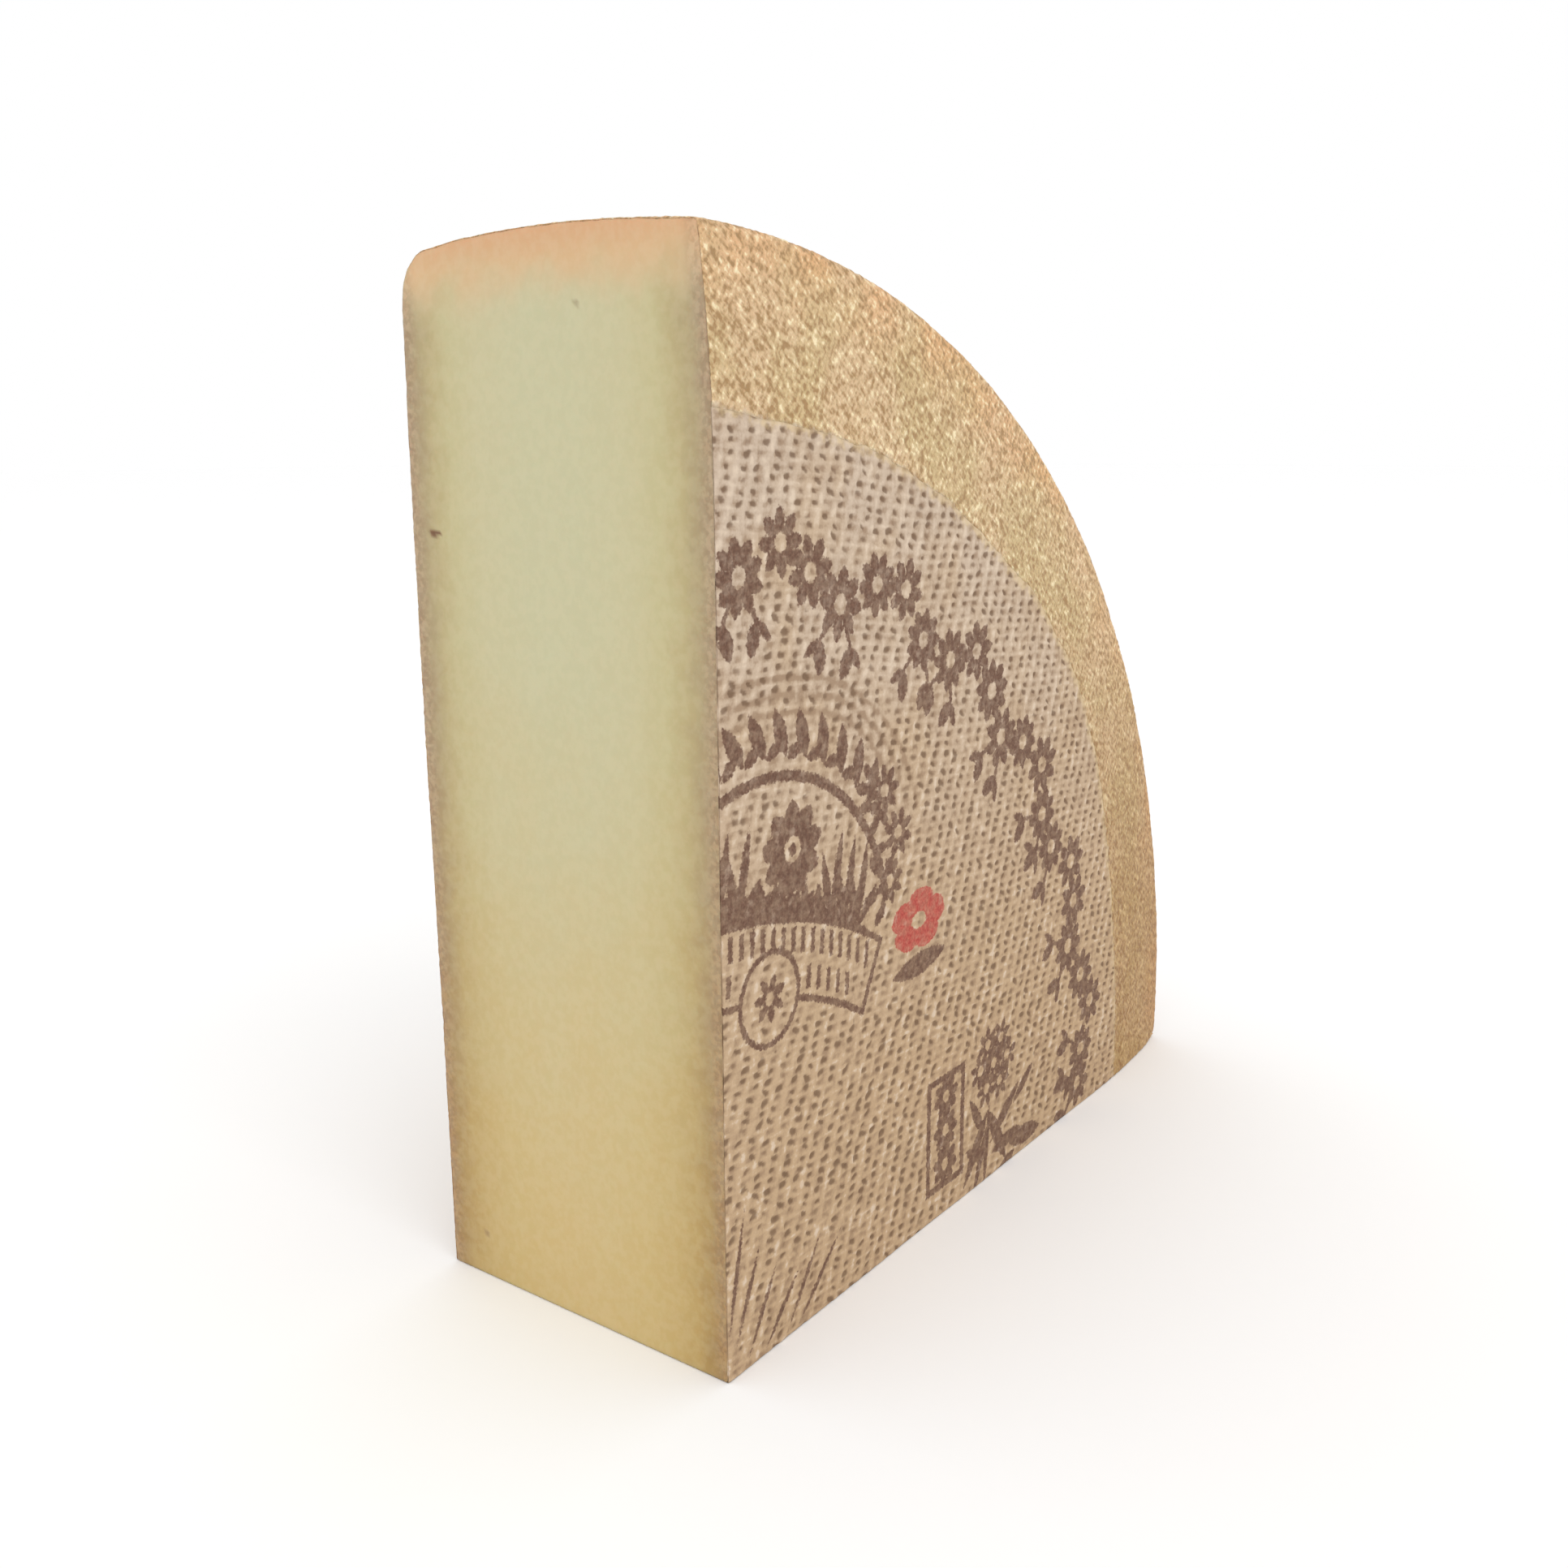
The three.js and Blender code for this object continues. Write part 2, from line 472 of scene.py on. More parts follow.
def wedge_skin():
    """The whole wedge: plain side, rim, band, the bed and wall round the label, and two cut faces."""
    skin = Skin()
    angles = arc_angles(SIDE_SAMPLES)

    back, back_inwards = back_patch()
    floor = floor_rows(angles)
    band, band_inwards = band_rows(angles)
    rim, rim_inwards = rim_rows(angles)
    band[-1] = rim[0]
    rim[-1] = arc_of(back)

    skin.cover(skin.add(back, back_inwards, 0.0), RIND)
    skin.cover(skin.add(band, band_inwards, 0.0), RIND)
    skin.cover(skin.add(rim, rim_inwards, 0.0), RIND)

    bed = LABEL_THICKNESS + LABEL_GAP
    wall = np.stack([floor[-1], band[0]])
    skin.cover(skin.add(floor, 0.0, bed), RIND)
    skin.cover(skin.add(wall, 0.0, np.array([bed, 0.0])[:, None]), RIND, smooth=False)

    # The rows of the rim, halfway round its two rounded edges, where a cut face has its corners.
    front_turn = FRONT_EDGE_ROWS // 2
    back_turn = len(rim) - 1 - BACK_EDGE_ROWS // 2
    outer_front = np.concatenate([floor, band, rim[1 : front_turn + 1]])
    outer_back = rim[back_turn:-1][::-1]
    straight = graded(SIDE_SAMPLES + len(outer_back) - len(outer_front) + 1)[:-1] * SAG_RADIUS

    share = lengths_along(rim_outline()[front_turn : back_turn + 1])[:, None]

    # The first cut face is the base, along x, and the second is the upright one, along z.
    bed_ring = []
    for column, direction, back_line in ((0, (1, 0, 0), back[:, 0]), (-1, (0, 0, 1), back[0, :])):
        inner_front = straight[:, None] * np.array(direction, dtype=float) + (0, bed, 0)
        front_line = np.concatenate([inner_front, outer_front[:, column]])
        whole_back = np.concatenate([back_line, outer_back[:, column]])
        rim_line = rim[front_turn : back_turn + 1, column]
        axis_line = (1 - share) * front_line[0] + share * whole_back[0]
        face = filled(front_line, whole_back, rim_line, axis_line)

        skin.cover(skin.add(face, 0.0, nearest_rind(face)), PASTE)
        bed_ring.append(inner_front)

    front_arc = skin.add(floor[0], 0.0, bed)
    lower = skin.add(bed_ring[0], 0.0, bed)
    upper = skin.add(bed_ring[1][1:], 0.0, bed)
    skin.close([*lower.tolist(), *front_arc.tolist(), *upper[::-1].tolist()], RIND)
    return skin


# ------------------------------------------------------------------ the label's open weave

# The columns are the steps from a hole to the next one along its row, and to the one above it.
WEAVE = np.array([[5.95, 1.07], [-0.44, 2.65]])
HOLE_SIZE = (1.55, 0.95)  # half width and half height
SQUARENESS = 2.6  # 2 would make the holes round, and more makes them squarer
HOLE_DEPTH = 0.34
YARN_HEIGHT = 0.12
DEEPEST_DIP = 0.45  # less than the label's thickness
CREASE_SPACING = 4.2


def woven(flat):
    """Places counted in threads: the first number from column to column, the second from row to row."""
    drift = np.stack([noise(flat, 46, 61), noise(flat, 46, 62)], axis=-1) * 1.5
    drift += np.stack([noise(flat, 13, 63), noise(flat, 13, 64)], axis=-1) * 0.5
    return (flat + drift) @ np.linalg.inv(WEAVE).T


def nearest_hole(flat):
    """How much a place lies in one of the weave's holes, from 0 to 1; they are smaller near the rim."""
    place = woven(flat)
    home = np.round(place)
    frayed = 1 + 0.35 * noise(flat, 1.1, 60)
    tighter = 1 + 0.2 * smooth_step(165, 235, np.hypot(flat[:, 0], flat[:, 1]))
    hole = np.zeros(len(flat))
    for step in np.ndindex(3, 3):
        cell = home + step - 1
        jitter = np.stack([scattered(cell, 65), scattered(cell, 66)], axis=-1) - 0.5
        offset = (place - cell - jitter * (0.34, 0.44)) @ WEAVE.T
        tilt = 0.9 * (scattered(cell, 69) - 0.65)
        size = 0.75 + 0.4 * scattered(cell, 67)
        across = np.abs(offset[:, 0]) / HOLE_SIZE[0]
        upwards = np.abs(offset[:, 1] - tilt * offset[:, 0]) / HOLE_SIZE[1]
        reach = tighter * frayed * (across**SQUARENESS + upwards**SQUARENESS) ** (1 / SQUARENESS) / size
        strength = 0.45 + 0.55 * smooth_step(0.0, 0.4, scattered(cell, 68))
        hole = np.maximum(hole, strength * smooth_step(1.35, 0.45, reach))
    return hole


def yarn(flat):
    """The rise and fall of the label's threads between the holes, from about -1 to 1."""
    column, row = (woven(flat) + 0.5).T
    turn = 0.45 * np.cos(math.pi * column) * np.cos(math.pi * row)
    upright = np.cos(TAU * column) + turn
    level = 0.8 * np.cos(TAU * row) - turn
    fibres = noise(flat * (1.0, 0.4), 0.9, 72) + noise(flat * (0.4, 1.0), 0.9, 74)
    return 0.5 * np.maximum(upright, level) - 0.25 + 0.3 * fibres + 0.3 * noise(flat, 3.2, 73)


def creases(flat):
    """Faint curved creases pressed into the label above the arch, from 0 to 1; through the thread value
    they also get painted shade.
    """
    offset = flat - MEDALLION
    radius = np.hypot(offset[:, 0], offset[:, 1]) + 2.0 * noise(flat, 26, 76)
    degrees = np.degrees(np.arctan2(offset[:, 1], offset[:, 0]))
    across = smooth_step(66, 71, radius) * smooth_step(85, 80, radius)
    along = smooth_step(18, 40, degrees) * smooth_step(112, 96, degrees)
    return across * along * (0.5 + 0.5 * np.cos(TAU * radius / CREASE_SPACING)) ** 2


# ------------------------------------------------------------------ drawing the print

# Each shape gives, for places on the label, the distance in millimetres to its outline, which is
# less than nothing inside the shape. `joined` keeps what is in any of several shapes.


def joined(*shapes):
    return np.minimum.reduce(shapes)


def disc(flat, centre, radius):
    return np.hypot(flat[:, 0] - centre[0], flat[:, 1] - centre[1]) - radius


def ring(flat, centre, radius, width):
    return np.abs(disc(flat, centre, radius)) - width / 2


def along_and_across(flat, start, end):
    """Places measured along a line from its start, and away from it, with the line's length."""
    run = np.subtract(end, start)
    length = np.hypot(*run)
    run = run / length
    offset = flat - start
    return offset @ run, offset @ (-run[1], run[0]), length


def stroke(flat, start, end, width):
    along, across, length = along_and_across(flat, start, end)
    return np.hypot(along - np.clip(along, 0, length), across) - width / 2


def leaf(flat, start, end, width):
    """A pointed oval from start to end."""
    along, across, length = along_and_across(flat, start, end)
    bow = (length**2 / 4 + width**2 / 4) / width
    return np.hypot(along - length / 2, np.abs(across) + bow - width / 2) - bow


def bar(flat, start, end, width):
    """A straight band with square ends."""
    along, across, length = along_and_across(flat, start, end)
    return np.maximum(np.abs(along - length / 2) - length / 2, np.abs(across) - width / 2)


def outlined(shape, width):
    return np.abs(shape) - width / 2


def polar(centre, radius, degrees):
    angle = math.radians(degrees)
    return centre[0] + radius * math.cos(angle), centre[1] + radius * math.sin(angle)


def rosette(flat, centre, radius, petals, turn, plump=0.40):
    """A round flower of pointed petals about a pale middle; `plump` is a petal's width to the radius."""
    shape = disc(flat, centre, 0.46 * radius)
    for number in range(petals):
        degrees = turn + number * 360 / petals
        base = polar(centre, 0.25 * radius, degrees)
        shape = joined(shape, leaf(flat, base, polar(centre, radius, degrees), plump * radius))
    return np.maximum(shape, -disc(flat, centre, 0.27 * radius))


NO_INK = 9.0  # stands for a distance too great to matter


class Print:
    """Ink on the label: the least distance to any drawn shape, kept for each vertex."""

    def __init__(self, flat):
        self.flat = flat
        self.ink = np.full(len(flat), NO_INK)

    def stamp(self, centre, reach, shape):
        """Inks a shape that reaches no farther than `reach` from its centre."""
        near = disc(self.flat, centre, reach) < 0
        self.ink[near] = np.minimum(self.ink[near], shape(self.flat[near]))

    def clear(self, centre, radius):
        """Takes all ink off a disc."""
        self.ink = np.maximum(self.ink, -disc(self.flat, centre, radius))


# ------------------------------------------------------------------ what is printed

GARLAND_RADIUS = 203.5
MEDALLION = (17.3, 97.1)
ARCH_RADIUS = 55.6
RIBBON_MIDDLE = (-8.4, -32.2)  # centre of the arcs that the ribbon's edges follow
RIBBON_RADIUS = 141.7  # of the ribbon's centre line
RIBBON_WIDTH = 20.0
SEAL = (18.5, 97.0)
RED_MARK = (88.5, 99.0)


def draw_garland(ink):
    """Small flowers in threes and fours along an arc, with leaf sprigs on the side of the axis."""
    chance = np.random.default_rng(5)
    for number, degrees in enumerate(np.arange(87.5, 0, -4.05)):
        swing = 6.0 * math.sin(number * TAU / 3.55 - 0.4)
        centre = polar((0, 0), GARLAND_RADIUS + swing, degrees + chance.uniform(-0.4, 0.4))
        radius = 9.2 + chance.uniform(-0.6, 0.6)
        turn = chance.uniform(0, 40)
        petals = int(chance.integers(8, 10))
        ink.stamp(centre, 13, lambda flat: rosette(flat, centre, radius, petals, turn, 0.45))
        if swing < -1.5:
            draw_sprig(ink, centre, degrees, chance)


def draw_sprig(ink, centre, degrees, chance):
    """Two twigs with two leaves each, from a flower in towards the axis."""
    for side in (-1, 1):
        lean = degrees + 180 + side * (36 + chance.uniform(-8, 8))
        start = polar(centre, 5, lean)
        bend = polar(centre, 12, lean)

        def shape(flat):
            twig = stroke(flat, start, bend, 1.5)
            broad = leaf(flat, bend, polar(bend, 9, lean - side * 48), 5.0)
            slender = leaf(flat, bend, polar(bend, 8, lean + side * 14), 3.0)
            return joined(twig, broad, slender)

        ink.stamp(bend, 15, shape)


def above(shape, flat, height):
    """What is left of a shape above a height."""
    return np.maximum(shape, height - flat[:, 1])


def on_ribbon(radius, x):
    """The place above x on an arc of the ribbon."""
    return x, RIBBON_MIDDLE[1] + math.sqrt(radius**2 - (x - RIBBON_MIDDLE[0]) ** 2)


def draw_medallion(ink):
    """An arch with a flower among grasses inside it, a wreath of leaves over it, a ribbon below."""
    arch_foot = MEDALLION[1] + 12
    ink.stamp(MEDALLION, 62, lambda flat: above(ring(flat, MEDALLION, ARCH_RADIUS, 2.8), flat, arch_foot))
    for degrees in np.arange(42, 118, 8.0):
        start = polar(MEDALLION, ARCH_RADIUS + 4.4, degrees)
        for lean, reach, width in ((28, 13.5, 5.0), (-62, 7.5, 3.6)):
            tip = polar(start, reach, degrees + lean)
            ink.stamp(start, 18, lambda flat: leaf(flat, start, tip, width))

    flower = (28, 133)
    ink.stamp(flower, 15, lambda flat: rosette(flat, flower, 12.5, 9, 10, 0.52))
    ink.stamp(flower, 5, lambda flat: disc(flat, flower, 1.7))
    draw_grasses(ink)
    draw_ribbon(ink)


def draw_grasses(ink):
    """Tufts along the ribbon's upper edge: tall at both sides of the flower and low beneath it."""
    tall = ((-12, 20), (12, 24), (44, 14), (-44, 12))
    low = ((-30, 8), (0, 10), (30, 8))
    tufts = [(x, tall) for x in (-2, 6, 45, 51, 57)] + [(x, low) for x in (15, 21, 27, 33, 39)]
    for x, blades in tufts:
        start = on_ribbon(RIBBON_RADIUS + RIBBON_WIDTH / 2, x)
        for lean, reach in blades:
            tip = polar(start, reach, 90 - lean)
            ink.stamp(start, reach + 3, lambda flat: leaf(flat, start, tip, 3.4))


def draw_ribbon(ink):
    """A ribbon with a dark fold along its top, rows of plain strokes, and a round seal with a flower."""
    top = RIBBON_RADIUS + RIBBON_WIDTH / 2

    def shape(flat):
        radius = np.hypot(flat[:, 0] - RIBBON_MIDDLE[0], flat[:, 1] - RIBBON_MIDDLE[1])
        slanted_end = (flat[:, 0] - 61 - 0.48 * (flat[:, 1] - 82)) / 1.1
        band = np.maximum(np.abs(radius - RIBBON_RADIUS) - RIBBON_WIDTH / 2, slanted_end)
        thickness = np.clip(8 - 0.11 * flat[:, 0], 1.5, 8)
        fold = np.maximum(np.maximum(radius - top - thickness, top - radius), flat[:, 0] - 62)
        return joined(outlined(band, 1.9), fold)

    ink.stamp((30, 100), 55, shape)
    upper = np.arange(3, 62, 4.2)
    lower = (2, 35, 39.4, 43.8, 48.2, 52.6)
    for radius, height, places in ((top - 5.2, 6.6, upper), (top - 14.4, 6.0, lower)):
        for x in places:
            foot = on_ribbon(radius - height / 2, x)
            tip = on_ribbon(radius + height / 2, x + 0.35)
            ink.stamp(foot, 12, lambda flat: bar(flat, foot, tip, 1.8))
    ink.clear(SEAL, 12.5)
    ink.stamp(SEAL, 15, lambda flat: joined(rosette(flat, SEAL, 6.5, 7, 20), ring(flat, SEAL, 12, 1.7)))


def draw_side_sprig(ink):
    """A leafy sprig with three small flowers to the right of the arch."""
    for centre, radius, turn in (((70, 140), 7.5, 5), ((77, 127), 7.2, 25), ((73, 114), 7.0, 15)):
        ink.stamp(centre, 10, lambda flat: rosette(flat, centre, radius, 8, turn))
        for lean in (150, 205, 250):
            start = polar(centre, 6, lean)
            ink.stamp(centre, 20, lambda flat: leaf(flat, start, polar(start, 7.5, lean - 20), 3.4))


def draw_panel(ink):
    """A small framed panel of three flowers beside a flower head on its stem."""
    middle = (106.5, 27.5)

    def panel(flat):
        away = np.abs(flat - middle) - (10.0, 17.5)
        return outlined(np.maximum(away[:, 0], away[:, 1]), 2.2)

    ink.stamp(middle, 32, panel)
    for rise in (-11, 0, 11):
        bloom = (middle[0], middle[1] + rise)
        ink.stamp(bloom, 9, lambda flat: rosette(flat, bloom, 7.2, 8, rise, 0.5))

    head = (136.0, 39.0)
    for number in range(7):
        bloom = polar(head, 8.5 if number else 0, number * 60)
        ink.stamp(bloom, 9, lambda flat: rosette(flat, bloom, 6.4, 7, number * 20, 0.4))
    for start, tip, width in (
        ((134, 27), (131, -3), 2.6),
        ((133, 24), (118, 3), 5.0),
        ((133, 20), (124, -3), 3.4),
        ((133, 24), (146, 2), 5.5),
        ((131, 16), (121, 32), 4.0),
        ((135, 12), (154, 27), 4.5),
        ((150, 20), (163, 30), 3.6),
        ((132, 8), (119, 15), 4.5),
        ((136, 8), (156, 10), 5.0),
        ((140, -2), (152, 3), 4.5),
        ((147, 7), (170, 5), 7.0),
    ):
        ink.stamp(start, 40, lambda flat: leaf(flat, start, tip, width))


def draw_strokes(ink):
    """Slender grass blades near the wheel's axis."""
    for start, tip in (
        ((1, 14), (7, 44)),
        ((4, 10), (13, 32)),
        ((9, 4), (20, 24)),
        ((16, 2), (30, 18)),
        ((26, 3), (40, 24)),
        ((30, 1), (49, 20)),
    ):
        ink.stamp(start, 36, lambda flat: leaf(flat, start, tip, 1.7))


def draw_red_mark(red):
    """A plain red flower, wider than it is tall."""

    def shape(flat):
        taller = RED_MARK + (flat - RED_MARK) * (1, 1.55)
        return rosette(taller, RED_MARK, 14, 5, 12, 0.95)

    red.stamp(RED_MARK, 18, shape)


def draw_mark_leaf(ink):
    ink.stamp((89, 85), 22, lambda flat: leaf(flat, (75, 84.5), (104, 87), 7.0))


def printed(flat):
    """Distance to the brown ink and to the red ink for each place."""
    brown = Print(flat)
    red = Print(flat)
    for draw in (draw_garland, draw_medallion, draw_side_sprig, draw_panel, draw_strokes, draw_mark_leaf):
        draw(brown)
    draw_red_mark(red)
    return brown.ink, red.ink


# ------------------------------------------------------------------ the label

LABEL_SAMPLES = 403
LABEL_STRIDE = 6  # the hidden underside has one sample for so many of the face's


def label_skin():
    """A thin closed sheet, with a fine grid on its face and a coarse one on its hidden underside."""
    skin = Skin()
    x, z = quarter_disc(LABEL_SAMPLES)
    share = np.hypot(x, z)
    radius = share * LABEL_RADIUS
    radius += share**6 * (label_edge(np.arctan2(z, x)) - LABEL_RADIUS)
    scale = np.divide(radius, share, out=np.zeros_like(share), where=share > 0)
    face = out_of_round(np.stack([x * scale, front_at(radius), z * scale], axis=-1))
    under = (face + (0, LABEL_THICKNESS, 0))[::LABEL_STRIDE, ::LABEL_STRIDE]

    face_numbers = skin.add(face, (0.0, 1.0, 0.0), 0.0)
    under_numbers = skin.add(under, 0.0, LABEL_THICKNESS)
    skin.cover(face_numbers, 0)
    skin.cover(under_numbers, 0)
    edges = (
        (face_numbers[0], under_numbers[0]),
        (face_numbers[:, 0], under_numbers[:, 0]),
        (arc_of(face_numbers), arc_of(under_numbers)),
    )
    for fine, coarse in edges:
        for number in range(len(coarse) - 1):
            start = number * LABEL_STRIDE
            run = fine[start : start + LABEL_STRIDE + 1].tolist()
            skin.close([*run, int(coarse[number + 1]), int(coarse[number])], 0)
    return skin


# ------------------------------------------------------------------ material helpers


def tone(red, green, blue):
    """A colour given as it looks on a screen, 0 to 255, in the shader's own terms."""
    shares = [value / 255 for value in (red, green, blue)]
    return tuple(s / 12.92 if s <= 0.04045 else ((s + 0.055) / 1.055) ** 2.4 for s in shares) + (1.0,)


class Nodes:
    """Short ways to add the nodes of one material; every result is a socket to plug in elsewhere."""

    def __init__(self, name):
        self.material = bpy.data.materials.new(name)
        self.material.use_nodes = True
        self.tree = self.material.node_tree
        self.shader = self.tree.nodes["Principled BSDF"]

    def add(self, kind, settings=None, **inputs):
        node = self.tree.nodes.new(kind)
        for key, value in (settings or {}).items():
            setattr(node, key, value)
        for key, value in inputs.items():
            self.plug(node.inputs[key.replace("_", " ")], value)
        return node

    def plug(self, socket, value):
        if isinstance(value, bpy.types.NodeSocket):
            self.tree.links.new(value, socket)
        else:
            socket.default_value = value

    def place(self):
        return self.add("ShaderNodeTexCoord").outputs["Object"]

    def number(self, name):
        return self.add("ShaderNodeAttribute", {"attribute_name": name}).outputs["Fac"]

    def noise(self, size, detail, stretch=(1, 1, 1), turn=0):
        """Noise from 0 to 1 whose lumps are about `size` millimetres across, drawn out by `stretch`.

        `turn` tips the drawn-out direction down from +X, in degrees about the wheel's axis.
        """
        mapping = self.add("ShaderNodeMapping", {"vector_type": "TEXTURE"}, Vector=self.place())
        self.plug(mapping.inputs["Rotation"], (0, math.radians(turn), 0))
        self.plug(mapping.inputs["Scale"], stretch)
        vector = mapping.outputs["Vector"]
        texture = self.add("ShaderNodeTexNoise", Vector=vector, Scale=1 / (size * MM), Detail=detail)
        return texture.outputs["Fac"]

    def remap(self, value, low, high, to_low=0.0, to_high=1.0):
        settings = {"interpolation_type": "SMOOTHSTEP"}
        ends = dict(From_Min=low, From_Max=high, To_Min=to_low, To_Max=to_high)
        return self.add("ShaderNodeMapRange", settings, Value=value, **ends).outputs["Result"]

    def calculate(self, operation, first, second):
        node = self.add("ShaderNodeMath", {"operation": operation})
        self.plug(node.inputs[0], first)
        self.plug(node.inputs[1], second)
        return node.outputs[0]

    def sum(self, first, second):
        return self.calculate("ADD", first, second)

    def product(self, first, second):
        return self.calculate("MULTIPLY", first, second)

    def mix(self, share, first, second):
        """Mixes two colours. The node's sockets for them share their names, so they go by number."""
        node = self.add("ShaderNodeMix", {"data_type": "RGBA"})
        self.plug(node.inputs[0], share)
        self.plug(node.inputs[6], first)
        self.plug(node.inputs[7], second)
        return node.outputs[2]

    def ramp(self, value, stops):
        """Colours along a scale of millimetres; the value must be in millimetres too."""
        low, high = stops[0][0], stops[-1][0]
        share = self.add("ShaderNodeMapRange", Value=value, From_Min=low, From_Max=high)
        ramp = self.add("ShaderNodeValToRGB", Fac=share.outputs["Result"])
        elements = ramp.color_ramp.elements
        for number, (at, colour) in enumerate(stops):
            position = (at - low) / (high - low)
            element = elements[number] if number < 2 else elements.new(position)
            element.position = position
            element.color = colour
        return ramp.outputs["Color"]

    def bump(self, height, distance):
        node = self.add("ShaderNodeBump", Height=height, Distance=distance * MM, Strength=1.0)
        return node.outputs["Normal"]

    def finish(self, colour, roughness, normal, **constants):
        self.plug(self.shader.inputs["Base Color"], colour)
        self.plug(self.shader.inputs["Roughness"], roughness)
        self.plug(self.shader.inputs["Normal"], normal)
        for key, value in constants.items():
            self.shader.inputs[key.replace("_", " ")].default_value = value
        return self.material


# ------------------------------------------------------------------ materials

LABEL_BEIGE = tone(203, 182, 156)


def wandering_edge(nodes):
    """Millimetres beyond the label's edge, made to wander so that no clean line shows."""
    wander = nodes.remap(nodes.noise(2.2, 3), 0.25, 0.75, -1.3, 1.3)
    return nodes.sum(nodes.number("beyond_label"), wander)


def rind_material():
    """Golden brown rind, streaked by the cloth's threads: pale on the crests and brown in the hollows,
    partly its own colour and partly painted highlight and painted shade. It is lighter towards the top,
    mostly as painted light from above.
    """
    nodes = Nodes("cheese_rind")
    rim = nodes.number("rim_depth")
    blotch = nodes.noise(28, 3)
    falling = nodes.noise(1.15, 2, stretch=(2.4, 1, 1), turn=38)
    rising = nodes.noise(1.1, 2, stretch=(2.0, 1, 1), turn=-52)
    streaks = nodes.sum(nodes.product(falling, 2.8), nodes.product(rising, 2.4))
    centred = nodes.sum(streaks, -2.6)
    texture = nodes.sum(nodes.product(nodes.number("relief"), 0.55), centred)

    # lighter towards the top and darker low down, mostly painted light falling from above; this share
    # lightens every rind colour below
    height = nodes.remap(nodes.number("height"), 40, 215)
    pale_gold = nodes.mix(height, tone(184, 149, 102), tone(214, 184, 144))
    deep_gold = nodes.mix(height, tone(176, 142, 90), tone(206, 181, 134))
    gold = nodes.mix(nodes.remap(blotch, 0.38, 0.62), pale_gold, deep_gold)
    ruddy_patch = nodes.remap(nodes.noise(20, 3), 0.38, 0.68, 0.25, 1.0)
    ruddy_edge = nodes.remap(rim, 26, 3, 0.0, 0.65)
    ruddy = nodes.product(ruddy_patch, ruddy_edge)
    gold = nodes.mix(ruddy, gold, nodes.mix(height, tone(194, 140, 86), tone(228, 172, 119)))

    # brown in the hollows of the relief: partly the rind's own colour and partly painted shade
    crest = nodes.remap(texture, -0.7, 0.3)
    lit_and_shaded_marks = nodes.mix(crest, nodes.mix(height, tone(146, 106, 60), tone(164, 130, 86)), gold)
    # pale on the crests of the relief: painted highlight
    painted_crest_highlight = nodes.remap(texture, 0.25, 0.9)
    lit_and_shaded_marks = nodes.mix(painted_crest_highlight, lit_and_shaded_marks, nodes.mix(height, tone(206, 172, 122), tone(244, 226, 184)))

    speckle = nodes.remap(nodes.noise(0.5, 2), 0.3, 0.75, 0.0, 0.16)
    colour = nodes.mix(speckle, lit_and_shaded_marks, tone(140, 108, 74))
    fringe = nodes.remap(wandering_edge(nodes), 1.6, -0.8, 0.0, 0.7)
    colour = nodes.mix(fringe, colour, LABEL_BEIGE)

    roughness = nodes.remap(nodes.noise(1.1, 3), 0.3, 0.7, 0.5, 0.68)
    normal = nodes.bump(nodes.sum(streaks, nodes.noise(0.6, 3)), 0.13)
    inside = dict(Subsurface_Weight=0.08, Subsurface_Scale=0.003)
    return nodes.finish(colour, roughness, normal, Specular_IOR_Level=0.35, **inside)


# Millimetres below the rind, and the paste's colour there: high up in the wedge, then low down, where the
# warmer colours are partly the paste's own tone and partly painted warm bounce light.
PASTE_COLOURS = (
    (0, (158, 135, 106), (150, 113, 68)),
    (4.5, (168, 149, 111), (165, 133, 78)),
    (10, (182, 167, 121), (183, 153, 92)),
    (16, (191, 181, 136), (192, 164, 104)),
    (26, (195, 187, 147), (199, 173, 114)),
    (42, (194, 189, 151), (202, 176, 119)),
)


